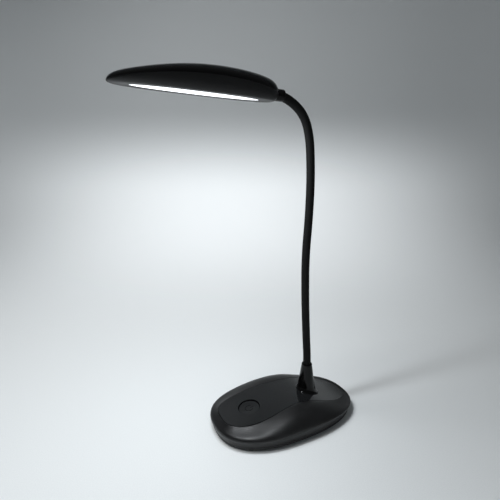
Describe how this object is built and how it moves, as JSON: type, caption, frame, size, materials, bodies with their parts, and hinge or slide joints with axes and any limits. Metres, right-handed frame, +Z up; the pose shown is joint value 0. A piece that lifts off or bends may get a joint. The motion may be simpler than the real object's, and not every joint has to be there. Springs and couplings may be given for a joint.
{
  "type": "gooseneck desk lamp",
  "caption": "Black desk lamp with an oval weighted base, a push button, a bendable sleeved neck and a slim head with a lit strip underneath.",
  "frame": {"origin": "on the desk, under the middle of the base's length and width", "axes": "+Z up, away from the desk; the head reaches towards -Y; X runs across the lamp, which is the same on both sides"},
  "size_m": [0.101, 0.2438, 0.3584],
  "materials": {
    "base_moulding": "fine matt grain, black",
    "panel_satin": "satin, charcoal black",
    "gloss_black": "polished black",
    "soft_sleeve": "soft matt black",
    "foot_rubber": "matt black",
    "wound_steel": "close wound wire, bare",
    "plain_steel": "plain",
    "dark_screw": "dark zinc",
    "board_laminate": "green lacquer",
    "board_metal": "white lacquer",
    "black_plastic": "matt",
    "wire_insulation": "smooth",
    "white_plastic": "satin white",
    "diffuser_white": "frosted, lit from behind",
    "light_phosphor": "phosphor, lit"
  },
  "bodies": {
    "base": {"base_cover": "base_moulding", "base_panel": "panel_satin", "base_plate": "base_moulding", "rubber_feet": "foot_rubber", "plate_screws": "dark_screw", "ballast_plate": "plain_steel", "ballast_screws": "dark_screw", "control_board": "board_laminate", "board_screws": "dark_screw", "board_parts": "black_plastic", "tact_switch": "dark_screw", "power_socket": "plain_steel", "socket_board": "board_laminate", "power_wires": "wire_insulation", "lamp_wires": "wire_insulation", "stem": "gloss_black", "neck_fitting": "plain_steel", "stem_washer": "plain_steel", "stem_nut": "plain_steel", "neck_core_0": "wound_steel", "neck_sleeve_0": "soft_sleeve", "neck_wires_0": "wire_insulation"},
    "button": {"power_button": "panel_satin", "switch_plunger": "black_plastic"},
    "neck_1": {"neck_core_1": "wound_steel", "neck_sleeve_1": "soft_sleeve", "neck_wires_1": "wire_insulation"},
    "neck_2": {"neck_core_2": "wound_steel", "neck_sleeve_2": "soft_sleeve", "neck_wires_2": "wire_insulation"},
    "neck_3": {"neck_core_3": "wound_steel", "neck_sleeve_3": "soft_sleeve", "neck_wires_3": "wire_insulation"},
    "neck_4": {"neck_core_4": "wound_steel", "neck_sleeve_4": "soft_sleeve", "neck_wires_4": "wire_insulation"},
    "neck_5": {"neck_core_5": "wound_steel", "neck_sleeve_5": "soft_sleeve", "neck_wires_5": "wire_insulation"},
    "neck_6": {"neck_core_6": "wound_steel", "neck_sleeve_6": "soft_sleeve", "neck_wires_6": "wire_insulation"},
    "head": {"neck_core_7": "wound_steel", "neck_sleeve_7": "soft_sleeve", "neck_wires_7": "wire_insulation", "head_collar": "gloss_black", "head_fitting": "plain_steel", "neck_clamp": "base_moulding", "clamp_screws": "dark_screw", "head_housing": "base_moulding", "head_cover": "gloss_black", "diffuser": "diffuser_white", "reflector_tray": "white_plastic", "light_board": "board_metal", "light_chips": "light_phosphor", "head_wires": "wire_insulation"}
  },
  "joints": [
    {"name": "button_press", "type": "slide", "parent": "base", "child": "button", "axis": [0, 0.1579, -0.9875], "range_m": [0, 0.0008], "stiffness_N_per_m": 600, "springref_m": -0.001},
    {"name": "neck_bend_1_fore", "type": "hinge", "parent": "base", "child": "neck_1", "pos_m": [0, 0.0293, 0.07198], "axis": [1, 0, 0], "range_deg": [-30, 30], "deforming": ["neck_sleeve_0", "neck_wires_0", "neck_sleeve_1", "neck_wires_1"]},
    {"name": "neck_bend_2_side", "type": "hinge", "parent": "neck_1", "child": "neck_2", "pos_m": [0, 0.02593, 0.11585], "axis": [0, 0.9978, 0.0663], "range_deg": [-30, 30], "deforming": ["neck_sleeve_2", "neck_wires_2"]},
    {"name": "neck_bend_3_fore", "type": "hinge", "parent": "neck_2", "child": "neck_3", "pos_m": [0, 0.02378, 0.15979], "axis": [1, 0, 0], "range_deg": [-30, 30], "deforming": ["neck_sleeve_3", "neck_wires_3"]},
    {"name": "neck_bend_4_side", "type": "hinge", "parent": "neck_3", "child": "neck_4", "pos_m": [0, 0.02447, 0.20377], "axis": [0, 0.998, -0.0628], "range_deg": [-30, 30], "deforming": ["neck_sleeve_4", "neck_wires_4"]},
    {"name": "neck_bend_5_fore", "type": "hinge", "parent": "neck_4", "child": "neck_5", "pos_m": [0, 0.026, 0.24774], "axis": [1, 0, 0], "range_deg": [-30, 30], "deforming": ["neck_sleeve_5", "neck_wires_5"]},
    {"name": "neck_bend_6_side", "type": "hinge", "parent": "neck_5", "child": "neck_6", "pos_m": [0, 0.02401, 0.29168], "axis": [0, 0.9952, 0.0976], "range_deg": [-30, 30], "deforming": ["neck_sleeve_6", "neck_wires_6"]},
    {"name": "neck_bend_7_fore", "type": "hinge", "parent": "neck_6", "child": "head", "pos_m": [0, 0.00895, 0.32764], "axis": [1, 0, 0], "range_deg": [-30, 30], "deforming": ["neck_sleeve_7", "neck_wires_7"]}
  ]
}
